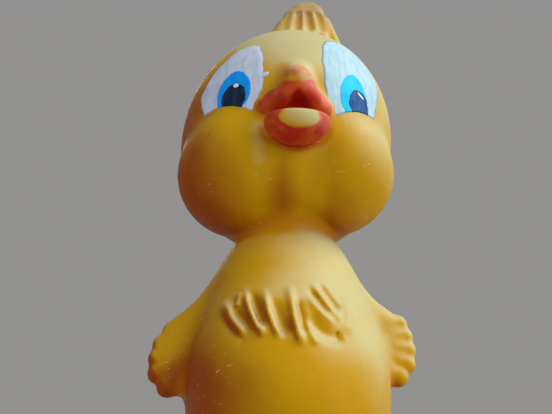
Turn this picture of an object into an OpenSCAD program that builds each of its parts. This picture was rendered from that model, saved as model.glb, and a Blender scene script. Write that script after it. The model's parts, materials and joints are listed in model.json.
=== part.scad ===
// Squeeze chick: a hollow moulded rubber bird with a whistle in its base.
// The bird stands on its base, faces -Y, and +Z is up.

/* [Body] */
// Height of the rubber body, from the base to the plate under the neck
body_h = 71; // [70:0.5:71]
// Radius of the base that the bird stands on
base_r = 22; // [21:0.5:24]
// Radius of the belly at its widest
belly_r = 26.5; // [26:0.5:28]
// Height of the widest part of the belly
belly_z = 40; // [39:1:41]
// Radius of the ball that swells the front of the belly
paunch_r = 25; // [24.5:0.5:25.5]
// Distance that the front of the belly stands out from the axis
paunch_reach = 32.5; // [32:0.5:33]
// Radius at which the shoulders run into the neck
neck_r = 17; // [16.5:0.5:18]
// Height at which the shoulders run into the neck
neck_z = 76; // [75:0.5:77]
// Thickness of the moulded rubber wall
wall = 2.5; // [2.2:0.1:2.8]

/* [Head] */
// Radius of the round head
head_r = 36; // [35.5:0.1:36.5]
// Radius of the forehead, a second ball above the first
brow_r = 33; // [32:0.5:34]
// Height of the centre of the forehead above the centre of the head
brow_up = 8; // [7:0.5:9]
// Height of the centre of the head above the base
head_z = 112.5; // [112:0.5:113]
// Radius of each cheek
cheek_r = 18.8; // [18:0.2:19.6]
// Distance from the centre of the head to the centre of a cheek
cheek_reach = 22.5; // [20:0.5:24]
// Height of the crown tuft above the top of the forehead
tuft_h = 18.5; // [16:0.5:20]
// Distance that the tuft leans to the bird's left
tuft_lean = 5; // [0:0.5:6]
// Distance that the beak stands out from the face
beak_reach = 10; // [8:0.5:11]

/* [Neck joint] */
// Height of the point about which the soft neck bends
pivot_z = 78; // [78:0.25:78.5]
// Outer radius of the rubber knuckle inside the neck
knuckle_r = 15; // [14.5:0.1:15.2]
// Gap between the knuckle and the collar of the head
neck_gap = 0.3; // [0.2:0.05:0.4]

/* [Press panel] */
// Radius of the rounded ends of the soft panel on the belly
panel_r = 19; // [18:0.5:19]
// Height of the centre of the panel
panel_z = 38; // [37:0.5:39]
// Half the distance between the centres of the two rounded ends
panel_half = 6; // [5:0.5:6]
// Gap around the panel
panel_gap = 0.35; // [0.3:0.05:0.5]

/* [Wings, feet and tail] */
// Distance from the middle of the body to a wing tip
wing_reach = 37.5; // [36:0.5:39]
// Height of the middle of the wings
wing_z = 46; // [44:0.5:48]
// How much lower one wing is moulded than the other
wing_drop = 4; // [0:0.5:5]
// Number of feather lobes on each wing
wing_lobes = 4; // [3:1:5]
// Distance from the axis of the body to the front of the toes
toe_reach = 39; // [37:0.5:41]
// Distance from the axis of the body to the tip of the tail
tail_reach = 38; // [37:0.5:40]

/* [Paint] */
// Thickness of each coat of paint
coat = 0.2; // [0.15:0.05:0.3]
// Width of the painted white of an eye
eye_w = 20; // [18:0.5:22]
// Height of the painted white before the cheek covers its foot
eye_h = 40; // [36:1:42]
// Radius of the painted iris
iris_r = 6.6; // [6:0.1:7]
// Radius of the painted pupil
pupil_r = 4.4; // [4:0.1:5]

/* [Whistle] */
// Radius of the whistle cup
cup_r = 8.8; // [8.5:0.1:9]
// Depth of the whistle cup
cup_h = 14; // [13:0.5:15]
// Radius of the flange that rests in the base
flange_r = 11; // [10.5:0.1:11.5]
// Thickness of the reed
reed_t = 0.25; // [0.2:0.05:0.3]
// Length of the reed's free tongue
reed_len = 10; // [9:0.5:11]

/* [Hidden] */

$fn = 96;
eps = 0.01;
floor_t = 3;                                // rubber under the hollow, around the whistle
beak_tip = head_r + beak_reach;             // furthest point forward of the axis
axis_y = (beak_tip - tail_reach) / 2;       // centres the bird's depth on the origin
big = 200;

flange_low = 0.2;       // the flange sits a little above the surface that the bird stands on
cup_t = 1;              // wall of the whistle cup
cap_t = 1.2;            // thickness of the perforated cap
trough_r = 3.4;         // radius of the rod that the trough is cut from
trough_low = 6;         // heights of the trough's two ends
trough_high = 20;
table_y = 0.3;          // how far in front of the axis the trough's flat lies
reed_gap = 0.2;         // room on each side of the reed where it passes the wedge
root_len = 2.5;         // length of reed between the wedge and the trough
reed_w = 4;

collar_t = 2.2;         // rubber around the knuckle, under the head
collar_drop = 2.7;      // how far the collar's foot lies below the pivot
face_azimuth = 28;      // how far round from the beak the irises look

rubber = [0.90, 0.62, 0.10];
brick = [0.80, 0.20, 0.12];
paper_white = [0.88, 0.88, 0.92];
sky_blue = [0.10, 0.45, 0.80];
ink = [0.05, 0.04, 0.08];
bone = [0.85, 0.83, 0.76];
brass = [0.78, 0.62, 0.30];

// ---------- shared shapes ----------

module on_axis() translate([0, axis_y, 0]) children();

module mirrored(side) mirror([side < 0 ? 1 : 0, 0, 0]) children();

// Radius of the body's outside at height z: a swelling belly, then sloping shoulders.
function body_r(z) =
    z < belly_z
        ? base_r + (belly_r - base_r) * sin(90 * z / belly_z)
        : neck_r + (belly_r - neck_r) * (1 - ((z - belly_z) / (neck_z - belly_z)) ^ 2) ^ 0.75;

// The body, a solid of revolution with a ball for its paunch, shrunk by inset on every side.
module body_solid(inset = 0) {
    low = inset > 0 ? floor_t : 0;
    high = body_h - inset;
    steps = 20;
    rotate_extrude()
        polygon(concat(
            [[0, low]],
            [for (i = [0:steps]) let (z = low + (high - low) * i / steps) [body_r(z) - inset, z]],
            [[0, high]]));
    translate([0, paunch_r - paunch_reach, belly_z - 2]) sphere(paunch_r - inset);
}

// Prism along Y, with rounded ends, that cuts the press panel out of the belly.
module panel_prism(gap = 0) {
    depth = paunch_reach;
    translate([0, -8, panel_z])
        rotate([90, 0, 0])
            linear_extrude(depth) {
                for (s = [-1, 1]) translate([0, s * panel_half]) circle(panel_r + gap);
                square([2 * (panel_r + gap), 2 * panel_half], center = true);
            }
}

module at_head() translate([0, 0, head_z]) children();

// A cheek sits 45 degrees round and 35 degrees below the middle of the face.
module cheek_balls(inset = 0)
    at_head()
        for (s = [-1, 1])
            rotate([0, 0, s * 45]) rotate([35, 0, 0]) translate([0, -cheek_reach, 0])
                sphere(cheek_r - inset);

// The round head and the forehead above it.
module head_balls(outset = 0) at_head() {
    sphere(head_r + outset);
    translate([0, -2, brow_up]) sphere(brow_r + outset);
}

module head_solid() {
    head_balls();
    cheek_balls();
}

// Turns a flat outline, drawn in X and Y, so that it faces out of the head.
module facing(azimuth, elevation)
    at_head() rotate([0, 0, azimuth]) rotate([90 - elevation, 0, 0]) children();

// ---------- body ----------

module torso_shell() color(rubber) on_axis() difference() {
    union() {
        body_solid();
        intersection() {
            translate([0, 0, pivot_z]) sphere(knuckle_r);
            translate([0, 0, body_h - 1]) cylinder(h = 16, r = knuckle_r + 1);
        }
    }
    body_solid(wall);
    translate([0, 0, pivot_z]) sphere(knuckle_r - wall);
    panel_prism(panel_gap);
    translate([0, 0, -eps]) cylinder(h = floor_t + 1, r = cup_r);
    translate([0, 0, -eps]) cylinder(h = 1.2 + eps, r = flange_r + 0.2);
}

module belly_panel() color(rubber) on_axis() intersection() {
    difference() {
        body_solid();
        body_solid(wall);
    }
    panel_prism();
}

// How far forward the skin of the chest lies at x and z, on the body or on its paunch.
function chest_y(x, z) =
    let (rest = paunch_r ^ 2 - x ^ 2 - (z - belly_z + 2) ^ 2)
    min(-sqrt(body_r(z) ^ 2 - x ^ 2), paunch_r - paunch_reach - (rest > 0 ? sqrt(rest) : 0));

// Feathers that run down and to the bird's left, within the outline of the press panel.
module chest_feathers() color(rubber) on_axis() intersection() {
    first_x = -13.5;
    pitch = 4.5;
    feather_top = 59;
    feather_len = 12;
    difference() {
        for (i = [0:5]) {
            x = first_x + pitch * i;
            top = feather_top - 0.2 * abs(x);
            low = top - feather_len;
            slant = 5 - 0.15 * x;
            hull() {
                translate([x, chest_y(x, top), top]) sphere(2.4, $fn = 20);
                translate([x + slant, chest_y(x + slant, low), low]) sphere(1.7, $fn = 20);
            }
        }
        body_solid();
    }
    panel_prism();
}

// A fan of lobes from the shoulder: the middle ones reach furthest out.
module wing(side) color(rubber) on_axis() mirrored(side) difference() {
    root_x = 23;
    root_r = 5;
    root_spread = 5;        // half the height of the fan at the shoulder
    root_rise = 4;          // how much higher than the tips the shoulder lies
    tip_r = 3;
    tip_spread = 8;         // half the height of the fan at the tips
    z = wing_z + side * wing_drop / 2;
    for (i = [0:wing_lobes - 1]) {
        part = 2 * i / (wing_lobes - 1) - 1;
        tip_x = wing_reach - tip_r - 3 * part ^ 2;
        hull() {
            translate([root_x, 0, z + root_rise - root_spread * part]) sphere(root_r, $fn = 24);
            translate([tip_x, -3, z - 0.5 - tip_spread * part]) sphere(tip_r, $fn = 24);
        }
    }
    body_solid();
}

module left_wing() wing(1);
module right_wing() wing(-1);

// A foot has three toes that fan out from one ball, and is flat underneath.
module foot(side) color(brick) on_axis() mirrored(side) difference() {
    foot_x = 12;
    ball_r = 5;
    toe_r = 3.2;
    toe_spread = 7.5;
    toe_z = 3;
    for (k = [-1:1])
        hull() {
            translate([foot_x, -20, toe_z]) sphere(ball_r, $fn = 24);
            translate([foot_x + toe_spread * k, toe_r - toe_reach + 2.2 * abs(k), toe_z])
                sphere(toe_r, $fn = 24);
        }
    body_solid();
    translate([-big / 2, -big / 2, -big]) cube(big);
}

module left_foot() foot(1);
module right_foot() foot(-1);

module tail() color(rubber) on_axis() difference() {
    tip_r = 2.6;
    hull() {
        translate([0, 25, 20]) sphere(7, $fn = 32);
        translate([0, tail_reach - tip_r, 27]) sphere(tip_r, $fn = 32);
    }
    body_solid();
}

// ---------- head ----------

module head_shell() color(rubber) on_axis() difference() {
    union() {
        head_solid();
        translate([0, 0, pivot_z]) sphere(knuckle_r + neck_gap + collar_t);
    }
    head_balls(-wall);
    cheek_balls(wall);
    translate([0, 0, pivot_z]) sphere(knuckle_r + neck_gap);
    translate([-big / 2, -big / 2, pivot_z - collar_drop - big]) cube(big);
}

// Five curls side by side, the middle one tallest.
module crown_tuft() color(rubber) on_axis() difference() {
    root_r = 4;
    tip_r = 2.6;
    top = brow_up + brow_r;
    for (i = [-2:2])
        at_head() hull() {
            translate([tuft_lean + 4.4 * i, -11, top - 7]) sphere(root_r, $fn = 24);
            translate([1.3 * tuft_lean + 3.4 * i, -15 + abs(i), top + tuft_h - tip_r - 1.2 * i ^ 2])
                sphere(tip_r, $fn = 24);
        }
    head_solid();
}

// The upper beak runs from the ridge between the eyes to its tip and to the two corners of the mouth.
module upper_beak() color(brick) on_axis() difference() {
    ridge_z = 5;
    corner_x = 8.5;
    corner_z = -8;
    tip_r = 3;
    tip_z = -10.5;
    at_head() hull() {
        translate([0, 2 - head_r, ridge_z]) sphere(2.5, $fn = 32);
        for (s = [-1, 1]) translate([s * corner_x, 5 - head_r, corner_z]) sphere(2.8, $fn = 32);
        translate([0, tip_r - beak_tip, tip_z]) sphere(tip_r, $fn = 32);
    }
    head_solid();
}

// The lower beak is a plump lip that runs back into the chin.
module lower_beak() color(brick) on_axis() difference() {
    lip_r = 4.4;
    lip_half = 4.3;
    lip_z = -18;
    at_head() hull()
        for (s = [-1, 1], y = [-1.5, 8])
            translate([s * lip_half, y - head_r, lip_z]) sphere(lip_r, $fn = 32);
    head_solid();
}

// ---------- paint ----------

// One coat of paint on the head's ball: coat number k, cut to a flat outline that faces out.
module painted(k, azimuth, elevation) difference() {
    intersection() {
        head_balls(coat * (k + 1));
        facing(azimuth, elevation) linear_extrude(head_r + 15) children();
    }
    head_balls(coat * k);
    cheek_balls();
}

// A leaf of two arcs, pointed at its top and bottom.
module leaf(w, h) {
    r = (h * h / 4 + w * w / 4) / w;
    intersection() {
        translate([r - w / 2, 0]) circle(r);
        translate([w / 2 - r, 0]) circle(r);
    }
}

module eye_white(side) color(paper_white) on_axis() painted(0, side * 31, 14) leaf(eye_w, eye_h);
module iris(side) color(sky_blue) on_axis() painted(1, side * face_azimuth, 0) circle(iris_r);
module pupil(side) color(ink) on_axis() painted(2, side * face_azimuth, -2) circle(pupil_r);
module eye_glint(side) color(paper_white) on_axis() painted(3, side * face_azimuth, 1) circle(1.2);

module left_eye_white() eye_white(1);
module right_eye_white() eye_white(-1);
module left_iris() iris(1);
module right_iris() iris(-1);
module left_pupil() pupil(1);
module right_pupil() pupil(-1);
module left_eye_glint() eye_glint(1);
module right_eye_glint() eye_glint(-1);

// ---------- whistle ----------

module whistle_cup() color(bone) on_axis() difference() {
    union() {
        translate([0, 0, flange_low]) cylinder(h = cup_h, r = cup_r);
        translate([0, 0, flange_low]) cylinder(h = 1, r = flange_r);
        translate([0, 0, floor_t]) cylinder(h = 2, r1 = cup_r + 1.2, r2 = cup_r);
    }
    translate([0, 0, flange_low - eps]) cylinder(h = cup_h - cup_t, r = cup_r - cup_t);
    cylinder(h = big, r = trough_r);
}

module whistle_cap() color(bone) on_axis() difference() {
    translate([0, 0, flange_low]) cylinder(h = cap_t, r = cup_r - cup_t);
    for (i = [0:5]) rotate([0, 0, 60 * i]) translate([4.6, 0, -1]) cylinder(h = 5, r = 0.9);
    translate([0, 0, -1]) cylinder(h = 5, r = 0.9);
}

// Half a rod with a slot down its flat: the reed beats against the flat.
module reed_trough() color(bone) on_axis() difference() {
    translate([0, 0, trough_low]) cylinder(h = trough_high - trough_low, r = trough_r);
    translate([-big / 2, -big - table_y, -1]) cube(big);
    translate([-1.2, -table_y - eps, trough_low + root_len + 1.5])
        cube([2.4, 2, trough_high - trough_low - root_len - 3.5]);
}

// The wedge that holds the foot of the reed against the trough.
module reed_wedge() color(bone) on_axis() difference() {
    translate([0, 0, trough_low]) cylinder(h = root_len, r = trough_r);
    translate([-big / 2, -table_y - 2 * reed_gap - reed_t, -1]) cube(big);
}

module reed() color(brass) on_axis()
    translate([-reed_w / 2, -table_y - reed_gap - reed_t, trough_low])
        cube([reed_w, reed_t, root_len + reed_len]);

// ---------- the nodes ----------

torso_shell();
belly_panel();
chest_feathers();
left_wing();
right_wing();
left_foot();
right_foot();
tail();
head_shell();
crown_tuft();
upper_beak();
lower_beak();
left_eye_white();
right_eye_white();
left_iris();
right_iris();
left_pupil();
right_pupil();
left_eye_glint();
right_eye_glint();
whistle_cup();
whistle_cap();
reed_trough();
reed_wedge();
reed();
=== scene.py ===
"""A worn rubber squeeze chick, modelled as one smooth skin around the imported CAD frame.

The skin is a distance field: balls, eggs and rods that are joined and carved, then meshed.
Sizes are in millimetres from the bird's own axis, and the mesh is written in metres.
"""

import json
import math

import bpy
import numpy as np
from mathutils import Matrix, Vector


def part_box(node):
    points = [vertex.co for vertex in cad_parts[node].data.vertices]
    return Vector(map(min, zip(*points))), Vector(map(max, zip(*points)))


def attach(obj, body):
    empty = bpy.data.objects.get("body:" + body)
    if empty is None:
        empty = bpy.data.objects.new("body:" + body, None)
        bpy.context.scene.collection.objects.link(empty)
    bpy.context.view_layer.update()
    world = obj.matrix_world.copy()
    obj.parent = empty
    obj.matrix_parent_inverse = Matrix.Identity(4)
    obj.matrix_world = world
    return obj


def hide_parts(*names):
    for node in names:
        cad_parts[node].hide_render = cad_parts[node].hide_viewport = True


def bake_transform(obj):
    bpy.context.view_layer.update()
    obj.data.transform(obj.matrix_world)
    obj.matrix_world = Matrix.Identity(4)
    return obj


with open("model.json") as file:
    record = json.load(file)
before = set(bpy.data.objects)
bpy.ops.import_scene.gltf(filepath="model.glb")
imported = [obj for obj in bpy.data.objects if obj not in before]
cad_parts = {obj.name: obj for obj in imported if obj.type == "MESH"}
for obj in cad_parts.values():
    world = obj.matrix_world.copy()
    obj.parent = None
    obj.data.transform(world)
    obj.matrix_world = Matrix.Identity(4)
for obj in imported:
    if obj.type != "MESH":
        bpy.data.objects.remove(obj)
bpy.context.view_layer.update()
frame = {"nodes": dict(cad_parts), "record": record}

MM = 0.001
STEP = 0.55      # spacing of the grid that the skin is meshed on
BLOCK = 8                               # the grid is filled in blocks of this many points a side
FAR = 1e3                               # a distance that stands for nothing near


# ---------- places taken from the frame ----------

def node_box(node):
    low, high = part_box(node)
    return np.array(low) / MM, np.array(high) / MM


def joint_place(name):
    """Where a joint turns, in millimetres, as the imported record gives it."""
    joints = frame["record"]["behaviour"]["joints"]
    return np.array(next(j["pos_m"] for j in joints if j["name"] == name)) / MM


cup_low, cup_high = node_box("whistle_cup")
_, head_high = node_box("head_shell")

AXIS_Y = (cup_low[1] + cup_high[1]) / 2     # the bird's axis runs up through the whistle
CUP_R = (cup_high[0] - cup_low[0]) / 2
BASE_R = 22.0
BELLY_R = 26.0
BELLY_Z = 40.0              # the belly is widest at this height
PAUNCH_R = 24.6             # a ball that swells the front of the belly
PAUNCH_REACH = 32.6         # and how far it stands out from the axis
BROW_R = 33.0               # the CAD's forehead, the highest ball of the head
BROW_UP = 8.0               # and how far it lies above the middle of the head
HEAD = np.array([0.0, 0.0, head_high[2] - BROW_R - BROW_UP])
SHOULDER_TOP = joint_place("neck_nod")[2] + 6.0     # the shoulders run on up inside the head to this height
SHOULDER_TOP_R = 11.5
THROAT_SOFT = 5.0           # how much softer the fold under the chin is than at the sides of the neck
BELLY_SPLIT = 21.5          # the belly's own skin lies further forward of the axis than this
NECK_SPLIT = 70.0           # the head's own skin starts at this height


# ---------- distance fields ----------

def size(v):
    return np.sqrt((v * v).sum(-1))


def ball(p, centre, radius):
    return size(p - np.array(centre)) - radius


def egg(p, centre, radii):
    q = (p - np.array(centre)) / np.array(radii)
    k = size(q)
    return k * (k - 1) / np.maximum(size(q / np.array(radii)), 1e-6)


def rod(p, start, end, r_start, r_end):
    """A straight rod with round ends, thicker at one end than at the other."""
    start, end = np.array(start, float), np.array(end, float)
    along = end - start
    h = np.clip((p - start) @ along / (along @ along), 0, 1)
    return size(p - start - h[..., None] * along) - (r_start + (r_end - r_start) * h)


def smoothstep(low, high, x):
    t = np.clip((x - low) / (high - low), 0, 1)
    return t * t * (3 - 2 * t)


def join(a, b, soft):
    """Two fields as one, with a fillet where they meet."""
    h = np.maximum(soft - np.abs(a - b), 0) / soft
    return np.minimum(a, b) - h * h * soft / 4


def meet(a, b, soft):
    return -join(-a, -b, soft)


def carve(a, b, soft):
    return -join(-a, b, soft)


def within(p, low, high):
    """Which points lie inside a box."""
    return ((p > np.array(low)) & (p < np.array(high))).all(-1)


def only(p, low, high, field, *rest):
    """A field where the points lie inside a box, and nothing elsewhere, which saves time."""
    inside = within(p, low, high)
    out = np.full(p.shape[:-1], FAR)
    if inside.any():
        out[inside] = field(p[inside], *rest)
    return out


def gradient(field, p):
    """How fast a field grows along X, Y and Z."""
    reach = 0.08
    g = np.empty(p.shape)
    for k in range(3):
        d = np.zeros(3)
        d[k] = reach
        g[:, k] = (field(p + d) - field(p - d)) / (2 * reach)
    return g


def slope_of(field, p):
    """The unit direction in which a field grows."""
    g = gradient(field, p)
    return g / np.maximum(size(g)[:, None], 1e-9)


# ---------- body ----------

def body_radius(z):
    """The outline of the body, which swells to the belly and narrows to the shoulders."""
    t = np.clip((z - BELLY_Z) / (SHOULDER_TOP - BELLY_Z), 0, 1)
    low = BASE_R + (BELLY_R - BASE_R) * np.sin(np.clip(z / BELLY_Z, 0, 1) * math.pi / 2)
    return np.where(z < BELLY_Z, low, BELLY_R - (BELLY_R - SHOULDER_TOP_R) * t ** 2.2)


def torso(p):
    """The plain body, a turned shape with a round paunch in front."""
    around = np.hypot(p[..., 0], p[..., 1])
    z = np.clip(p[..., 2], 0, SHOULDER_TOP - 1)
    slope = body_radius(z + 0.5) - body_radius(z - 0.5)
    d = (around - body_radius(z)) / np.sqrt(1 + slope * slope)
    d = meet(d, p[..., 2] - SHOULDER_TOP - 3, 2)
    paunch = ball(p, (0, PAUNCH_R - PAUNCH_REACH, BELLY_Z - 2), PAUNCH_R)
    return join(d, paunch, 6)


def bend(start, lean, end):
    """Nine points along the curve that leaves one point, leans to the second and ends at the third."""
    start, lean, end = np.array(start), np.array(lean), np.array(end)
    t = np.linspace(0, 1, 9)[:, None]
    return (1 - t) ** 2 * start + 2 * t * (1 - t) * lean + t ** 2 * end


# The relief of the chest as soft strokes. Each has its start, the point it leans to and its end, as x and z,
# then its height (below zero for a hollow) and its half width.
CHEST_STROKES = [
    ((-15.0, 50.5), (-2.0, 51.0), (10.0, 51.0), 0.7, 5.0),       # the mound under the feathers
    ((-17.0, 56.0), (-15.6, 49.5), (-10.6, 45.2), 1.1, 1.3),     # crests, from the bird's right to its left
    ((-12.9, 57.2), (-13.6, 54.6), (-13.6, 52.2), 0.6, 0.8),
    ((-12.2, 59.0), (-11.2, 50.0), (-6.6, 44.2), 1.0, 0.95),
    ((-7.4, 58.0), (-6.8, 49.0), (-3.2, 43.8), 1.0, 0.95),
    ((-1.1, 59.0), (-1.5, 48.5), (1.2, 42.2), 1.1, 1.05),
    ((1.5, 48.8), (2.6, 46.0), (4.4, 42.6), 0.45, 0.9),
    ((2.8, 55.4), (3.8, 51.2), (9.4, 47.4), 0.6, 1.1),
    ((4.2, 59.6), (6.6, 53.2), (10.8, 48.4), 0.8, 1.0),
    ((12.0, 57.5), (14.8, 51.0), (10.6, 45.6), 0.5, 1.4),
    ((-14.8, 53.0), (-13.0, 49.0), (-9.8, 45.4), -0.8, 1.1),     # the hollows between them
    ((-10.2, 57.5), (-9.3, 51.0), (-7.2, 46.4), -0.9, 1.1),
    ((-5.1, 55.0), (-4.6, 48.6), (-1.8, 44.2), -1.0, 1.5),
    ((0.4, 55.0), (0.6, 49.7), (1.8, 44.8), -0.8, 0.9),
    ((2.0, 51.5), (4.8, 43.2), (10.9, 45.6), -1.0, 1.6),
    ((3.2, 58.0), (4.8, 53.2), (7.8, 50.0), -0.5, 0.8),
    ((6.0, 59.6), (7.8, 55.2), (10.6, 51.2), -0.7, 1.0),
    ((-17.4, 51.5), (-15.2, 46.2), (-10.8, 44.0), -0.4, 1.1),
]


def along_path(x, z, path):
    """How far each point is from a path, and how far along the path it is, from 0 to 1."""
    best = np.full(x.shape, FAR)
    share = np.zeros(x.shape)
    for k in range(len(path) - 1):
        step = path[k + 1] - path[k]
        h = np.clip(((x - path[k][0]) * step[0] + (z - path[k][1]) * step[1]) / (step @ step), 0, 1)
        far = np.hypot(x - path[k][0] - h * step[0], z - path[k][1] - h * step[1])
        share = np.where(far < best, (k + h) / (len(path) - 1), share)
        best = np.minimum(best, far)
    return best, share


def chest(p):
    """The front of the body with its chest feathers."""
    x, z = p[..., 0], p[..., 2]
    relief = 0
    for start, lean, end, height, width in CHEST_STROKES:
        far, share = along_path(x, z, bend(start, lean, end))
        ends = smoothstep(0, 0.35, share) * smoothstep(1, 0.8, share)
        relief = relief + height * ends * np.exp(-(far / width) ** 2)
    return torso(p) - relief


# ---------- wings, tail and feet ----------

# Each wing, by its side: its roots' x and heights, the x and z of each feather's tip, and how softly the
# wing runs into the body.
WINGS = {
    -1: (17.0, (60.0, 48.0), [(31.4, 50.6), (33.6, 46.8), (34.2, 43.2), (33.8, 39.6), (31.0, 36.4)], 5.0),
    1: (20.0, (51.5, 44.5), [(31.6, 53.2), (32.6, 49.8), (32.8, 46.2), (32.0, 42.6), (29.4, 39.4)], 3.0),
}
WING_Y = -3.5
# A web of rubber that runs down the left shoulder to its wing
SHOULDER_WEB = ((13.5, -2.0, 67.0), (25.0, -3.0, 55.5))


def wing(p, side):
    """A flat hand of five feathers that overlap, with a groove between each two."""
    root_x, (high, low), tips, _ = WINGS[side]
    d = np.full(p.shape[:-1], FAR)
    for k, (x, z) in enumerate(tips):
        root = (side * root_x, WING_Y, high + (low - high) * k / 4)
        d = join(d, rod(p, root, (side * x, WING_Y - 0.5 * k, z), 4.6, 2.8), 1.2)
    if side > 0:
        d = join(d, rod(p, *SHOULDER_WEB, 4.0, 4.0), 4)
    return d


def tail(p):
    """A short tail that turns up, with a ridge on each side."""
    d = rod(p, (0, 22, 22), (0, 34.2, 28), 7.5, 2.6)
    for side in (-1, 1):
        d = join(d, rod(p, (side * 4, 23, 21), (side * 4.4, 32.4, 26), 5.5, 2.2), 0.8)
    return d


def foot(p, side):
    """Three plump toes that spread from under the belly, flat underneath."""
    d = egg(p, (side * 12, -20, 3.5), (8.5, 9.5, 4.6))
    for k in (-1, 0, 1):
        tip = (side * 12 + 7.0 * k, -35.4 + 2.2 * abs(k), 3.2)
        d = join(d, rod(p, (side * 12 + 2.4 * k, -20, 3.6), tip, 3.9, 3.3), 1.4)
    return d


# ---------- head ----------

def cheek(p, side):
    """A fat cheek, which reaches lower and further out on the bird's right."""
    outer = ball(p, HEAD + (side * 14.1 - 0.5, -10.5, -15.3 + 0.8 * side), 19.2)
    inner = ball(p, HEAD + (side * 13.2, -16.2, -14.0), 16.6)
    return join(outer, inner, 2)


def skull(p):
    """The head without its beak and tuft."""
    d = join(ball(p, HEAD, 35.6), ball(p, HEAD + (1.6, -2, BROW_UP), 33.5), 4)
    chin = egg(p, HEAD + (0, -14.0, -15.0), (12.5, 18.2, 16.6))
    d = join(d, chin, 4)
    return join(d, np.minimum(cheek(p, -1), cheek(p, 1)), 2.8)


def hood(p):
    """The upper beak: a tent from its blunt tip back to the forehead and to the corners of the mouth."""
    tip = HEAD + (0.3, -40.6, -4.0)
    d = rod(p, HEAD + (0.3, -33.5, 3.0), tip, 4.4, 3.6)
    for side in (-1, 1):
        corner = HEAD + (side * 7.3, -33.9, -7.8)
        d = join(d, rod(p, tip + (0, 1.5, -0.5), corner, 3.0, 1.8), 2.5)
        d = join(d, rod(p, HEAD + (side * 1.5, -35.0, -3), corner + (0, 1, 0.5), 3.6, 1.9), 2.5)
    return join(d, egg(p, HEAD + (0.3, -38.0, -7.6), (6.2, 4.6, 3.8)), 2)


def mouth_hollow(p):
    """The open mouth, a wedge under the tip that narrows upwards."""
    x = np.sqrt(p[..., 0] ** 2 + 0.6)
    rise = p[..., 2] - (HEAD[2] - 7.8) - 0.3 * (p[..., 1] + 42)
    wedge = 0.74 * x + 0.67 * rise
    return meet(meet(wedge, -p[..., 1] - 46, 1), p[..., 1] + 34.5, 2)


def lip(p):
    """The lower beak, a plump half moon with its flat edge up."""
    d = egg(p, HEAD + (0.2, -36.8, -13.8), (9.0, 6.2, 7.0))
    rim = p[..., 2] - (HEAD[2] - 14.4) + 0.25 * (p[..., 1] + 42) - 0.02 * p[..., 0] ** 2
    return meet(d, rim, 1.6)


def beak(p, d):
    """The field of the face with the whole beak added to it."""
    d = join(d, hood(p), 2.6)
    d = carve(d, mouth_hollow(p), 0.8)
    return join(d, lip(p), 0.8)


# Each curl of the tuft, from the head's middle: the x of its foot, then the x and height of its tip.
CURLS = [(-5.8, -2.0, 44.0), (-2.6, 1.2, 50.4), (1.0, 4.0, 53.6), (4.8, 6.6, 54.8),
         (8.6, 9.2, 55.0), (12.2, 11.2, 53.0), (16.4, 13.6, 47.6)]
# Each hollow between them: the x of its foot and of its top.
FLUTES = [(-2.4, -0.4), (2.6, 3.6), (7.4, 7.0), (12.2, 10.8)]


def tuft(p):
    """A fluted dome of fat curls on the crown."""
    d = egg(p, HEAD + (6.2, -12.0, 40), (10.0, 6.5, 14.5))
    for k, (foot_x, tip_x, tip_z) in enumerate(CURLS):
        off = abs(k - 3.2)
        low = HEAD + (foot_x, -17.6 + 0.2 * off ** 2, 37.6 - 0.3 * off ** 2)
        d = join(d, rod(p, low, HEAD + (tip_x, -15.0, tip_z), 2.6, 2.6), 1.6)
    for foot_x, top_x in FLUTES:
        front = rod(p, HEAD + (foot_x, -21.0, 40.4), HEAD + (top_x, -18.8, 49.0), 2.1, 1.3)
        back = rod(p, HEAD + (foot_x, -4.6, 41.0), HEAD + (top_x, -8.2, 50.0), 1.9, 1.2)
        d = carve(d, np.minimum(front, back), 1.0)
    return d


# ---------- the whole skin ----------

def body_field(p):
    """The body with its wings, tail and feet, cut flat at the bottom."""
    d = torso(p)
    near_chest = within(p, (-26, -45, 36), (26, -8, 70))
    if near_chest.any():
        d[near_chest] = chest(p[near_chest])
    for side in (-1, 1):
        low, high = sorted((side * 12, side * 46))
        d = join(d, only(p, (low, -20, 24), (high, 14, 76), wing, side), WINGS[side][-1])
    d = join(d, only(p, (-18, 10, 8), (18, 48, 42), tail), 2.5)
    d = meet(d, -p[..., 2], 3.0)
    for side in (-1, 1):
        low, high = sorted((side * -6, side * 34))
        toes = only(p, (low, -50, -8), (high, -4, 18), foot, side)
        d = join(d, meet(toes, -p[..., 2], 1.5), 0.9)
    return d


def head_field(p):
    """The head with its beak and tuft."""
    d = skull(p)
    near_beak = within(p, HEAD + (-20, -60, -34), HEAD + (20, -22, 16))
    if near_beak.any():
        d[near_beak] = beak(p[near_beak], d[near_beak])
    return join(d, only(p, HEAD + (-22, -36, 18), HEAD + (34, 10, 70), tuft), 1.4)


def whistle_hole(p, d):
    """The field with the seat of the whistle cup cut into the base, and a wider shaft above it."""
    around = np.hypot(p[:, 0], p[:, 1])
    seat = np.maximum(around - (CUP_R + 0.25), p[:, 2] - 1.3)
    shaft = np.maximum(around - 10.1, p[:, 2] - (cup_high[2] + 8))
    return carve(carve(d, seat, 0.3), shaft, 0.3)


def skin(p):
    """The whole bird. Each part is worked out only at the heights that it reaches."""
    d = np.full(p.shape[:-1], FAR)
    low, high, bottom = p[..., 2] < 100, p[..., 2] > 62, p[..., 2] < 34
    if low.any():
        d[low] = body_field(p[low])
    if high.any():
        throat = THROAT_SOFT * np.exp(-(p[high][:, 0] / 10) ** 2)
        d[high] = join(d[high], head_field(p[high]), 2.2 + throat)
    if bottom.any():
        d[bottom] = whistle_hole(p[bottom], d[bottom])
    return d


# ---------- meshing ----------

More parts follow.
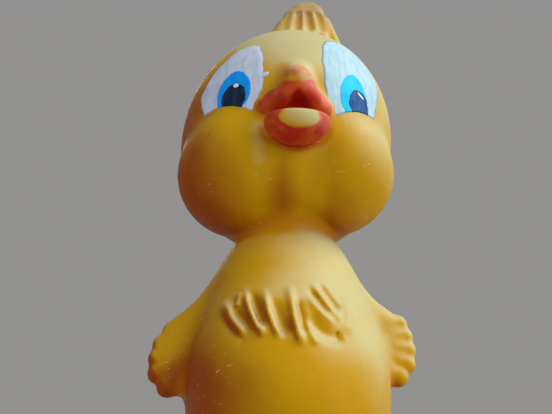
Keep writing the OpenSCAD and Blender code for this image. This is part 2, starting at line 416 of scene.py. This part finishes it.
def fill_grid(field, low, counts):
    """The field on every grid point near the surface, and a large value with its sign elsewhere."""
    blocks = -(-counts // BLOCK)
    index = np.stack(np.meshgrid(*[np.arange(b) for b in blocks], indexing="ij"), -1).reshape(-1, 3)
    middle = low + (index * BLOCK + (BLOCK - 1) / 2) * STEP
    rough = np.concatenate([field(part) for part in np.array_split(middle, 16)])
    values = np.where(rough < 0, -FAR, FAR)[:, None] * np.ones((1, BLOCK ** 3))
    near = np.flatnonzero(np.abs(rough) < BLOCK * STEP * 0.9 + 1.5)
    inner = np.stack(np.meshgrid(*[np.arange(BLOCK)] * 3, indexing="ij"), -1).reshape(-1, 3)
    for part in np.array_split(near, max(1, len(near) // 400)):
        points = low + (index[part][:, None] * BLOCK + inner[None]) * STEP
        values[part] = field(points.reshape(-1, 3)).reshape(len(part), -1)
    values = values.reshape(*blocks, BLOCK, BLOCK, BLOCK).transpose(0, 3, 1, 4, 2, 5)
    return values.reshape(blocks * BLOCK)


CORNERS = np.array([(i, j, k) for i in (0, 1) for j in (0, 1) for k in (0, 1)])
CELL_EDGES = [(a, b) for a in range(8) for b in range(a + 1, 8) if np.abs(CORNERS[a] - CORNERS[b]).sum() == 1]


def surface_net(field, low, high):
    """Vertices and quads of the surface where the field is zero."""
    low, high = np.array(low, float), np.array(high, float)
    values = fill_grid(field, low, np.ceil((high - low) / STEP).astype(int) + 1)
    inside = values < 0
    n = np.array(inside.shape) - 1
    count = sum(inside[i:i + n[0], j:j + n[1], k:k + n[2]].astype(np.int8) for i, j, k in CORNERS)
    cells = np.argwhere((count > 0) & (count < 8))
    corner_values = np.stack([values[tuple((cells + c).T)] for c in CORNERS], -1)
    total = np.zeros((len(cells), 3))
    crossings = np.zeros((len(cells), 1))
    for a, b in CELL_EDGES:
        va, vb = corner_values[:, a], corner_values[:, b]
        cross = (va < 0) != (vb < 0)
        t = np.where(cross, va / np.where(cross, va - vb, 1), 0)[:, None]
        total += np.where(cross[:, None], CORNERS[a] + t * (CORNERS[b] - CORNERS[a]), 0)
        crossings += cross[:, None]
    verts = low + (cells + total / crossings) * STEP
    number = np.full(n, -1, np.int64)
    number[tuple(cells.T)] = np.arange(len(cells))
    quads = []
    for axis in range(3):
        u, v = [k for k in range(3) if k != axis]
        near = np.take(inside, range(n[axis]), axis)
        far = np.take(inside, range(1, n[axis] + 1), axis)
        for solid_first, changed in ((True, near & ~far), (False, far & ~near)):
            at = np.argwhere(changed)
            at = at[(at[:, u] > 0) & (at[:, v] > 0) & (at[:, u] < n[u]) & (at[:, v] < n[v])]
            du, dv = np.eye(3, dtype=int)[u], np.eye(3, dtype=int)[v]
            ring = [at - du - dv, at - dv, at, at - du]
            if solid_first == (axis == 1):
                ring.reverse()
            quads.append(np.stack([number[tuple(r.T)] for r in ring], -1))
    return verts, np.concatenate(quads)


def settle(field, verts):
    """Moves each vertex onto the surface, in four short steps."""
    for _ in range(4):
        g = gradient(field, verts)
        length = np.maximum(size(g), 0.3)
        verts = verts - g * (np.clip(field(verts) / length, -STEP, STEP) / length)[:, None]
    return verts


def to_world(p):
    """From millimetres on the bird's axis to metres in the frame."""
    return (np.asarray(p) + (0, AXIS_Y, 0)) * MM


def make_piece(name, verts, faces, normals=None, values=None):
    """A smooth mesh object from points in millimetres. Values holds, by name, a number for each point."""
    used, faces = np.unique(faces, return_inverse=True)
    faces = faces.reshape(-1, 4)
    mesh = bpy.data.meshes.new(name)
    mesh.from_pydata(to_world(verts[used]).tolist(), [], faces.tolist())
    mesh.polygons.foreach_set("use_smooth", np.ones(len(mesh.polygons), bool))
    for key, number in (values or {}).items():
        mesh.attributes.new(key, "FLOAT", "POINT").data.foreach_set("value", number[used].astype(np.float32))
    rest = mesh.attributes.new("rest_place", "FLOAT_VECTOR", "POINT")
    rest.data.foreach_set("vector", (verts[used] * MM).astype(np.float32).ravel())
    if normals is not None:
        mesh.normals_split_custom_set_from_vertices(normals[used].tolist())
    obj = bpy.data.objects.new(name, mesh)
    bpy.context.scene.collection.objects.link(obj)
    return obj


# ---------- painted eyes ----------

def look_dir(az, el):
    """Directions out of the middle of the head, turned to the bird's left by az and up by el."""
    a, e = np.radians(az), np.radians(el)
    return np.stack([np.sin(a) * np.cos(e), -np.cos(a) * np.cos(e), np.sin(e)], -1)


def on_head(az, el):
    """Points of the head's skin in those directions."""
    out = look_dir(az, el)
    reach = np.full(out.shape[:-1] + (1,), 45.0)
    for _ in range(30):
        reach = reach - skull(HEAD + out * reach)[..., None]
    return HEAD + out * reach


def smooth_loop(points, count):
    """A closed curve through the points."""
    pts = np.array(points, float)
    t = np.arange(count) * len(pts) / count
    i = t.astype(int)
    f = (t - i)[:, None]
    a, b, c, d = (pts[(i + k) % len(pts)] for k in (-1, 0, 1, 2))
    return b + 0.5 * f * (c - a + f * (2 * a - 5 * b + 4 * c - d + f * (3 * (b - c) + d - a)))


def oval(centre, half_wide, half_high, lean=0.0, narrow=0.0):
    """Eight points around an egg that leans over and is narrower at its top."""
    t = np.radians(np.arange(0, 360, 45))
    high = half_high * np.sin(t)
    wide = half_wide * np.cos(t) * (1 - narrow * np.sin(t))
    c, s = math.cos(math.radians(lean)), math.sin(math.radians(lean))
    return np.stack([centre[0] + wide * c + high * s, centre[1] + high * c - wide * s], -1)


def shaky_arms(centre, outline, wobble, seed, count):
    """From the middle of a patch of paint to points around its edge, which wavers as a brush does."""
    t = np.arange(count) * 2 * math.pi / count
    rng = np.random.default_rng(seed)
    waves = [np.sin(k * t + rng.uniform(0, 6.3)) * rng.uniform(0.4, 1) for k in (5, 9, 14, 23)]
    arm = smooth_loop(outline, count) - np.array(centre)
    return arm * (1 + sum(waves) * wobble / 2 / np.maximum(size(arm), 1))[:, None]


def clear_share(centre, arm):
    """How much of each arm is free before it meets a cheek, since the cheeks cover the foot of an eye."""
    tries = np.linspace(0, 1, 70)
    path = np.array(centre) + tries[:, None, None] * arm
    place = on_head(path[..., 0], path[..., 1])
    bare = np.minimum(cheek(place, -1), cheek(place, 1)) > 1.0
    bare = np.logical_and.accumulate(bare, 0)
    stop = np.where(bare.all(0), 1.0, tries[np.maximum(bare.sum(0) - 1, 0)])
    return (np.roll(stop, 1) + 2 * stop + np.roll(stop, -1)) / 4


def film_faces(rings, count):
    """Quads over a film's top, its underside, whose points follow those of the top, and its rim."""
    n = 1 + rings * count
    ring = [[1 + k * count + i for i in range(count)] for k in range(rings)]
    top = [[0, ring[0][i], ring[0][i + 1], ring[0][(i + 2) % count]] for i in range(0, count, 2)]
    for inner, outer in zip(ring, ring[1:]):
        for i in range(count):
            j = (i + 1) % count
            top.append([inner[i], outer[i], outer[j], inner[j]])
    rim = []
    for i in range(count):
        j = (i + 1) % count
        rim.append([ring[-1][i], n + ring[-1][i], n + ring[-1][j], ring[-1][j]])
    top = np.array(top)
    return np.concatenate([top, n + top[:, ::-1], np.array(rim)])


def paint_film(centre, outline, lift, wobble=0.25, seed=0, rings=14, count=144):
    """A thin closed coat of paint on the head: points, faces, and how near each point is to the edge."""
    arm = shaky_arms(centre, outline, wobble, seed, count)
    stop = clear_share(centre, arm)
    share = np.linspace(1 / rings, 1, rings)
    path = np.array(centre) + (share[:, None] * stop)[..., None] * arm
    around = on_head(path[..., 0], path[..., 1]).reshape(-1, 3)
    flat = np.concatenate([on_head(np.array([centre[0]]), np.array([centre[1]])), around])
    out = slope_of(skull, flat)
    near_edge = np.concatenate([[0.0], np.repeat(share, count)])
    rise = lift * np.sqrt(np.clip(1 - smoothstep(0.9, 1.0, near_edge) ** 2, 0.04, 1))
    verts = np.concatenate([flat + out * rise[:, None], flat - out * 0.35])
    faces = film_faces(rings, count)
    first = verts[faces[0]]
    turn = np.cross(first[1] - first[0], first[2] - first[0])
    if turn @ (first.mean(0) - HEAD) < 0:
        faces = faces[:, ::-1]
    return verts, faces, np.concatenate([near_edge, near_edge])


def merge(*films):
    """Several films as one."""
    verts = np.concatenate([f[0] for f in films])
    starts = np.cumsum([0] + [len(f[0]) for f in films[:-1]])
    faces = np.concatenate([f[1] + start for f, start in zip(films, starts)])
    return verts, faces, np.concatenate([f[2] for f in films])


# ---------- camera, light and stage ----------

def aim(obj, place, azimuth, elevation, roll):
    """Points a camera along azimuth (0 is +Y, positive towards +X) and elevation, in degrees."""
    a, e = math.radians(azimuth), math.radians(elevation)
    ahead = Vector((math.sin(a) * math.cos(e), math.cos(a) * math.cos(e), math.sin(e)))
    turn = ahead.to_track_quat("-Z", "Y").to_matrix().to_4x4()
    obj.matrix_world = Matrix.Translation(place) @ turn @ Matrix.Rotation(math.radians(roll), 4, "Z")


def make_camera():
    data = bpy.data.cameras.new("view")
    data.sensor_width = 36.0
    data.lens = 28.04                   # a phone's view, 65.4 degrees wide
    camera = bpy.data.objects.new("view", data)
    bpy.context.scene.collection.objects.link(camera)
    aim(camera, to_world((-10.3, -126.3, HEAD[2] - 84.1)), 3.3, 26.5, 0.3)
    data.clip_start = 0.01
    bpy.context.scene.camera = camera


def make_light(name, place, towards, power, width, colour):
    data = bpy.data.lights.new(name, "AREA")
    data.energy = power
    data.size = width
    data.color = colour
    light = bpy.data.objects.new(name, data)
    light.location = place
    light.rotation_mode = "QUATERNION"
    light.rotation_quaternion = (Vector(towards) - Vector(place)).to_track_quat("-Z", "Y")
    bpy.context.scene.collection.objects.link(light)


def make_stage():
    world = bpy.data.worlds.new("studio")
    world.use_nodes = True
    world.node_tree.nodes["Background"].inputs["Color"].default_value = (0.29, 0.285, 0.28, 1)
    bpy.context.scene.world = world
    bpy.context.scene.view_settings.view_transform = "Standard"
    mesh = bpy.data.meshes.new("floor")
    r = 6.0
    mesh.from_pydata([(-r, -r, 0), (r, -r, 0), (r, r, 0), (-r, r, 0)], [], [(0, 1, 2, 3)])
    floor = bpy.data.objects.new("floor", mesh)
    bpy.context.scene.collection.objects.link(floor)
    paint, n = new_material("pale_floor")
    n.set(Base_Color=rgb(0.45, 0.44, 0.43), Roughness=0.9)
    mesh.materials.append(paint)
    middle = to_world((0, 0, 90))
    make_light("key", (0.62, -0.34, 0.72), middle, 7.4, 0.5, (1.0, 0.97, 0.93))
    make_light("fill", (-0.7, -0.6, 0.35), middle, 1.5, 0.6, (0.92, 0.96, 1.0))
    make_light("bounce", (0.50, -0.75, 0.08), middle, 3.0, 0.5, (1.0, 0.97, 0.92))
    make_light("rim", (-0.1, 0.7, 0.7), middle, 4, 0.5, (1.0, 1.0, 1.0))


# ---------- materials ----------

def new_material(name):
    material = bpy.data.materials.new(name)
    material.use_nodes = True
    return material, Nodes(material.node_tree)


class Nodes:
    """Short names for adding and joining shader nodes."""

    def __init__(self, tree):
        self.tree = tree
        self.shader = tree.nodes["Principled BSDF"]

    def set(self, **numbers):
        for key, value in numbers.items():
            self.shader.inputs[key.replace("_", " ")].default_value = value

    def add(self, kind, **settings):
        node = self.tree.nodes.new(kind)
        for key, value in settings.items():
            setattr(node, key, value)
        return node

    def link(self, source, target):
        self.tree.links.new(source, target)

    def feed(self, socket, value):
        if isinstance(value, (int, float, tuple)):
            socket.default_value = value
        else:
            self.link(value, socket)

    def value(self, name):
        return self.add("ShaderNodeAttribute", attribute_name=name).outputs["Fac"]

    def place(self):
        return self.add("ShaderNodeAttribute", attribute_name="rest_place").outputs["Vector"]

    def noise(self, scale, detail=3.0, rough=0.55, stretch=None, where=None):
        node = self.add("ShaderNodeTexNoise")
        node.inputs["Scale"].default_value = scale
        node.inputs["Detail"].default_value = detail
        node.inputs["Roughness"].default_value = rough
        source = where or self.place()
        if stretch:
            mapping = self.add("ShaderNodeMapping")
            mapping.inputs["Scale"].default_value = stretch
            self.link(source, mapping.inputs["Vector"])
            source = mapping.outputs["Vector"]
        self.link(source, node.inputs["Vector"])
        return node.outputs["Fac"]

    def ramp(self, source, low, high, out_low=0.0, out_high=1.0):
        node = self.add("ShaderNodeMapRange", interpolation_type="SMOOTHSTEP")
        self.feed(node.inputs["Value"], source)
        for key, number in zip(("From Min", "From Max", "To Min", "To Max"), (low, high, out_low, out_high)):
            node.inputs[key].default_value = number
        return node.outputs["Result"]

    def math(self, operation, a, b=0.0, c=0.0):
        node = self.add("ShaderNodeMath", operation=operation)
        for socket, number in zip(node.inputs, (a, b, c)):
            self.feed(socket, number)
        return node.outputs["Value"]

    def mix(self, amount, a, b):
        node = self.add("ShaderNodeMix", data_type="RGBA")
        self.feed(node.inputs["Factor"], amount)
        self.feed(node.inputs["A"], a)
        self.feed(node.inputs["B"], b)
        return node.outputs["Result"]

    def bump(self, height, distance, below=None):
        node = self.add("ShaderNodeBump")
        node.inputs["Distance"].default_value = distance
        self.link(height, node.inputs["Height"])
        if below is not None:
            self.link(below, node.inputs["Normal"])
        return node.outputs["Normal"]


def rgb(r, g, b):
    return (r, g, b, 1.0)


def red_coat(n, painted_light_and_wear, hollow):
    """The red paint's colour: brighter in blotches, pale where it is worn and, as painted light, where it
    faces the key light, and darker deep in the mouth as painted shade.
    """
    blotches = n.ramp(n.noise(160, 3), 0.35, 0.65)
    paint = n.mix(blotches, rgb(0.44, 0.022, 0.008), rgb(0.60, 0.100, 0.014))
    # paler where the skin faces the key light, as painted light, and where the paint is worn
    paint = n.mix(n.ramp(painted_light_and_wear, 0.6, 0.95, 0, 0.75), paint, rgb(0.78, 0.22, 0.16))
    # painted shade: darker deep in the mouth and in grooves
    return n.mix(n.ramp(hollow, 0.1, 0.6, 0, 0.8), paint, rgb(0.52, 0.003, 0.005))


def rubber_material():
    """Old moulded rubber with its worn red paint. Its colour is painted pale towards the key light and on
    top, and deep underneath and in grooves, which is painted light and painted shade, with worn patches,
    grime and scratches besides.
    """
    shaded_orange, yellow, lit_and_worn_pale = rgb(0.32, 0.062, 0.0005), rgb(0.57, 0.31, 0.001), rgb(0.60, 0.55, 0.26)
    dust_and_sheen, crease_shade = rgb(0.52, 0.46, 0.26), rgb(0.48, 0.15, 0.001)
    scratch, grime = rgb(0.72, 0.58, 0.30), rgb(0.42, 0.31, 0.16)
    material, n = new_material("aged_rubber_with_painted_light")
    n.set(Specular_IOR_Level=0.1)
    uneven = n.math("MULTIPLY", n.math("SUBTRACT", n.noise(55, 4), 0.5), 0.25)
    painted_light_and_wear = n.math("ADD", n.value("painted_light_and_wear"), uneven)
    hollow = n.value("hollow")
    # painted light and shade: a deep colour where the skin faces away from the key light, yellow in between,
    # and pale both where it faces the light and where it is worn
    colour = n.mix(n.ramp(painted_light_and_wear, 0.27, 0.60), shaded_orange, yellow)
    colour = n.mix(n.ramp(painted_light_and_wear, 0.66, 1.0), colour, lit_and_worn_pale)
    # dust on the faces that point up, which also stands for a painted sheen from the light above; on the
    # forehead it is a painted highlight too
    dust_and_sheen_amount = n.math("MULTIPLY", n.value("dust_and_sheen"), n.ramp(n.noise(90, 4), 0.3, 0.7, 0.45, 0.75))
    colour = n.mix(dust_and_sheen_amount, colour, dust_and_sheen)
    # painted shade: the deeper a point lies in a groove or crease, the darker it is painted
    colour = n.mix(n.ramp(hollow, 0.10, 0.6, 0, 0.85), colour, crease_shade)
    scratches = n.ramp(n.noise(1100, 2, stretch=(0.3, 0.8, 1.5)), 0.66, 0.72, 0, 0.55)
    clusters = n.ramp(n.noise(70, 2), 0.45, 0.65)
    colour = n.mix(n.math("MULTIPLY", scratches, clusters), colour, scratch)
    dirty = n.math("MULTIPLY", n.value("grime"), n.ramp(n.noise(260, 4), 0.3, 0.62, 0.45, 1.0))
    colour = n.mix(dirty, colour, grime)
    ragged = n.math("MULTIPLY", n.math("SUBTRACT", n.noise(500, 4), 0.5), 0.7)
    painted = n.ramp(n.math("ADD", n.value("red"), ragged), 0.25, 0.7)
    n.link(n.mix(painted, colour, red_coat(n, painted_light_and_wear, hollow)), n.shader.inputs["Base Color"])
    n.link(n.ramp(n.noise(420, 3), 0.3, 0.7, 0.42, 0.56), n.shader.inputs["Roughness"])
    waves = n.bump(n.noise(60, 3), 0.0004)
    n.link(n.bump(n.noise(900, 3), 0.00006, waves), n.shader.inputs["Normal"])
    return material


def enamel(name, colour, streak, rough=0.5):
    """Brushed-on enamel: streaks that run up the eye, and a duller edge where the coat runs thin."""
    material, n = new_material(name)
    strokes = n.noise(700, 3, stretch=(1.0, 1.0, 0.28))
    shade = n.mix(n.ramp(strokes, 0.42, 0.62), rgb(*colour), rgb(*streak))
    thin = n.ramp(n.value("edge"), 0.93, 1.0, 0.0, 0.55)
    n.link(n.mix(thin, shade, rgb(*[c * 0.45 for c in streak])), n.shader.inputs["Base Color"])
    n.link(n.ramp(n.noise(300, 2), 0.3, 0.7, rough, rough + 0.12), n.shader.inputs["Roughness"])
    n.link(n.bump(strokes, 0.00006), n.shader.inputs["Normal"])
    n.set(Specular_IOR_Level=0.1)
    return material


def plastic_material(name, colour):
    """Old moulded plastic, a little cloudy."""
    material, n = new_material(name)
    where = n.add("ShaderNodeTexCoord").outputs["Object"]
    cloudy = n.ramp(n.noise(300, 3, where=where), 0.35, 0.65)
    shade = n.mix(cloudy, rgb(*colour), rgb(*[c * 0.8 for c in colour]))
    n.link(shade, n.shader.inputs["Base Color"])
    n.link(n.ramp(n.noise(800, 2, where=where), 0.3, 0.7, 0.35, 0.5), n.shader.inputs["Roughness"])
    n.link(n.bump(n.noise(1500, 2, where=where), 0.00003), n.shader.inputs["Normal"])
    return material


def rolled_brass():
    """Thin brass strip with the fine lines of the rolls along it."""
    material, n = new_material("rolled_brass")
    where = n.add("ShaderNodeTexCoord").outputs["Object"]
    lines = n.noise(4000, 2, stretch=(1, 1, 0.04), where=where)
    shade = n.mix(n.ramp(lines, 0.35, 0.65), rgb(0.60, 0.40, 0.13), rgb(0.72, 0.52, 0.20))
    n.link(shade, n.shader.inputs["Base Color"])
    n.link(n.ramp(lines, 0.3, 0.7, 0.25, 0.38), n.shader.inputs["Roughness"])
    n.link(n.bump(lines, 0.00001), n.shader.inputs["Normal"])
    n.set(Metallic=1.0)
    return material


def set_material(node, material):
    """Puts a material on every slot of a CAD node."""
    for slot in frame["nodes"][node].material_slots:
        slot.material = material


# ---------- paint, wear and painted light ---

LIT_SIDE = np.array([0.62, -0.36, 0.68])      # the way the key light comes from: the rubber is painted palest where it faces this way, as painted light
BROW = HEAD + (-1, -29, 23)                     # the middle of the forehead, painted pale with dust and a painted highlight
BEAK_TIP = HEAD + (0.3, -42.0, -1.0)
RUBBED_LIP = ((0.4, -42.4, -16.8), (5.6, 3.4, 2.8))     # the bare oval on the lower beak, and its radii
# The pale streaks down the face beside the chin: the x of each, and the heights that it runs between.
STREAKS = [(-9.4, -24, -12), (7.6, -30, -18)]


def streaks_at(p):
    """How much of a pale streak each point has."""
    x, y, z = (p - HEAD).T
    total = np.zeros(len(p))
    for middle_x, low, high in STREAKS:
        across = np.exp(-((x - middle_x) / 3.2) ** 2)
        total += across * smoothstep(low - 6, low + 2, z) * smoothstep(high + 4, high, z)
    return total * (y < -15)


def red_at(p, rubbed):
    """How much red paint each point wears: 1 well inside the paint, 0 well outside it."""
    above = p[:, 2] - HEAD[2] + 6.8 - 0.12 * np.minimum(np.abs(p[:, 0]), 5) ** 2
    d = np.maximum(hood(p) - 0.5, above)
    d = join(d, lip(p) - 0.6, 2)
    d = join(d, mouth_hollow(p) - 0.9, 1)
    red = smoothstep(1.4, -1.2, d) * smoothstep(-1.6, 1.4, rubbed)
    for side in (-1, 1):
        red = np.maximum(red, smoothstep(0.6, -0.6, foot(p, side) - 0.4))
    return red


def hollow_at(p, normals):
    """How deep in a groove each point lies, from how near the skin still is a little way out. The rubber
    darkens these places as painted shade.
    """
    near, further = [(d - skin(p + normals * d)) / d for d in (1.0, 2.5)]
    return np.maximum(0.7 * further, 1.2 * near)


def wear_and_painted_light(p, normals):
    """The numbers that the rubber's material reads, for each point."""
    rubbed = egg(p, HEAD + RUBBED_LIP[0], RUBBED_LIP[1])
    tip_wear = smoothstep(8.5, 4.0, size(p - BEAK_TIP))
    brow_dust_and_sheen = smoothstep(27, 12, size(p - BROW))
    deep_wing = smoothstep(-23, -30, p[:, 0]) * smoothstep(50, 37, p[:, 2]) * (p[:, 2] < 70)
    # Painted light and shade: paler where the skin faces the key light and towards the back, deeper
    # underneath, lower down and on the low part of the bird's right wing. The rubbed lip and the worn beak
    # tip are real wear, the forehead adds dust with a painted highlight, and the streaks beside the chin are
    # paler.
    facing = normals * np.where(normals[:, 2:] < 0, (1, 1, 0.5), 1)     # undersides count half
    painted_light_and_wear = 0.5 + 0.5 * facing @ LIT_SIDE + 0.35 * np.maximum(normals[:, 1], 0)
    painted_light_and_wear += 0.3 * smoothstep(1.5, -1.5, rubbed) + 0.2 * tip_wear + 0.25 * brow_dust_and_sheen + 0.12 * streaks_at(p)
    painted_light_and_wear -= 0.3 * deep_wing + 0.05 * smoothstep(46, 36, p[:, 2])
    return {
        "hollow": hollow_at(p, normals),
        "red": np.maximum(red_at(p, rubbed), 0.5 * tip_wear),
        "grime": 0.9 * smoothstep(-2, 14, p[:, 2] - HEAD[2] - 38),      # towards the tuft's top
        "painted_light_and_wear": painted_light_and_wear,
        # upward faces and forehead: dust, and a painted sheen and highlight
        "dust_and_sheen": np.maximum(smoothstep(0.3, 0.95, normals[:, 2]), 0.65 * brow_dust_and_sheen),
    }


# ---------- build ----------

make_camera()
make_stage()

GRID_LOW = (-40.5, -50.5, -2.0)
GRID_HIGH = (40.5, 39.5, HEAD[2] + 62)

verts, quads = surface_net(skin, GRID_LOW, GRID_HIGH)
verts = settle(skin, verts)
normals = slope_of(skin, verts)
values = wear_and_painted_light(verts, normals)

# Which quads belong to the neck and head, the beak, the feet and the belly
middle = verts[quads].mean(1)
above_neck = middle[:, 2] > NECK_SPLIT
from_beak = np.minimum(np.minimum(hood(middle), lip(middle)), mouth_hollow(middle))
is_beak = above_neck & (from_beak < 0.9) & (middle[:, 1] < -30)
is_foot = (foot(middle, -1) < 0.5) | (foot(middle, 1) < 0.5)
is_belly = ~above_neck & ~is_foot & (middle[:, 1] < -BELLY_SPLIT) & (middle[:, 2] > 5.5)

rubber = rubber_material()


def skin_piece(name, chosen, slot, *nodes):
    """The chosen quads of the skin as a piece that replaces those CAD nodes."""
    obj = make_piece(name, verts, quads[chosen], normals, values)
    obj.data.materials.append(rubber)
    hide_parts(*nodes)
    return obj


head_skin = skin_piece("head_skin", above_neck & ~is_beak, "rubber", "head_shell", "crown_tuft")
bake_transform(head_skin)

beak_skin = skin_piece("beak_skin", is_beak, "red_paint", "upper_beak", "lower_beak")
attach(beak_skin, "head")

belly_skin = skin_piece("belly_skin", is_belly, "rubber", "belly_panel", "chest_feathers")
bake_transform(belly_skin)

body_skin = skin_piece("body_skin", ~above_neck & ~is_belly & ~is_foot, "rubber",
                       "torso_shell", "left_wing", "right_wing", "tail")
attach(body_skin, "torso")

for side, name in ((-1, "right_foot"), (1, "left_foot")):
    toes = skin_piece(name + "_skin", is_foot & (side * middle[:, 0] > 0), "red_paint", name)
    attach(toes, "torso")

ivory = plastic_material("ivory_plastic", (0.66, 0.60, 0.46))
for node in ("whistle_cup", "whistle_cap", "reed_trough", "reed_wedge"):
    set_material(node, ivory)
set_material("reed", rolled_brass())

# The eyes are painted by azimuth and elevation about the middle of the head, in degrees.
WHITE_R = [(-15.0, 16.5), (-14.0, 5.0), (-15.5, -6.0), (-18.0, -14.0), (-30.0, -18.0), (-42.0, -14.0),
           (-48.5, -1.0), (-49.0, 8.0), (-44.0, 17.0), (-35.0, 24.5), (-26.0, 29.0), (-18.0, 25.5)]
WHITE_L = [(13.5, 20.0), (12.8, 9.0), (13.7, -3.0), (17.0, -14.0), (28.0, -18.0), (40.0, -14.0),
           (43.5, -2.0), (47.0, 9.0), (48.0, 18.0), (44.0, 27.0), (36.0, 34.0), (25.0, 36.0), (16.5, 30.0)]
FLECK = (-13.2, 4.6)         # a spot of white that ran over towards the beak
GLINT_R = (-27.0, 1.4)
GLINT_L = (32.2, 0.2)
EYES = {
    "right_eye_white": merge(paint_film((-29, 5), WHITE_R, 0.14, 0.5, 1),
                             paint_film(FLECK, oval(FLECK, 1.8, 1.3, -25), 0.16, 0.3, 9, rings=4, count=24)),
    "left_eye_white": paint_film((29, 8), WHITE_L, 0.14, 0.5, 2),
    "right_iris": paint_film((-28.6, -2), oval((-28.6, -0.5), 9.2, 11.6, 3, 0.14), 0.22, 0.2, 3),
    "left_iris": paint_film((28.6, -2), oval((28.6, -1.0), 8.0, 12.2, 3, 0.14), 0.22, 0.2, 4),
    "right_pupil": paint_film((-28.4, -4), oval((-28.4, -4.6), 6.6, 7.8), 0.28, 0.3, 5),
    "left_pupil": paint_film((31.4, -4), oval((31.4, -4.8), 6.2, 8.0), 0.28, 0.3, 6),
    "right_eye_glint": paint_film(GLINT_R, oval(GLINT_R, 1.7, 1.2, 20), 0.34, 0.2, 7, rings=5, count=32),
    "left_eye_glint": paint_film(GLINT_L, oval(GLINT_L, 2.6, 0.7, 30), 0.34, 0.2, 8, rings=5, count=32),
}
eye_paint = {
    "left_eye_white": enamel("left_eye_white_enamel", (0.46, 0.72, 0.84), (0.40, 0.63, 0.77)),
    "right_eye_white": enamel("right_eye_white_enamel", (0.58, 0.67, 0.84), (0.49, 0.58, 0.76)),
    # the two irises are the same paint: the left one is painted brighter and more cyan as painted light, and
    # the right one darker as painted shade
    "left_iris": enamel("left_iris_enamel_painted_lit", (0.0005, 0.64, 1.0), (0.001, 0.54, 0.94)),
    "right_iris": enamel("right_iris_enamel_painted_shade", (0.0005, 0.34, 1.0), (0.001, 0.28, 0.90)),
    # the left pupil is painted bluer and brighter than the right, a painted reflection of the light
    "left_pupil": enamel("left_pupil_enamel_painted_reflection", (0.010, 0.075, 0.26), (0.02, 0.12, 0.34)),
    "right_pupil": enamel("right_pupil_enamel", (0.003, 0.014, 0.05), (0.01, 0.03, 0.08)),
}
for side in ("left", "right"):
    glint = enamel(side + "_glint_enamel", (0.85, 0.88, 0.92), (0.75, 0.80, 0.88), 0.4)
    eye_paint[side + "_eye_glint"] = glint
for node, (points, faces, near_edge) in EYES.items():
    film = make_piece(node + "_coat", points, faces, values={"edge": near_edge})
    film.data.materials.append(eye_paint[node])
    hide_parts(node)
    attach(film, "head")
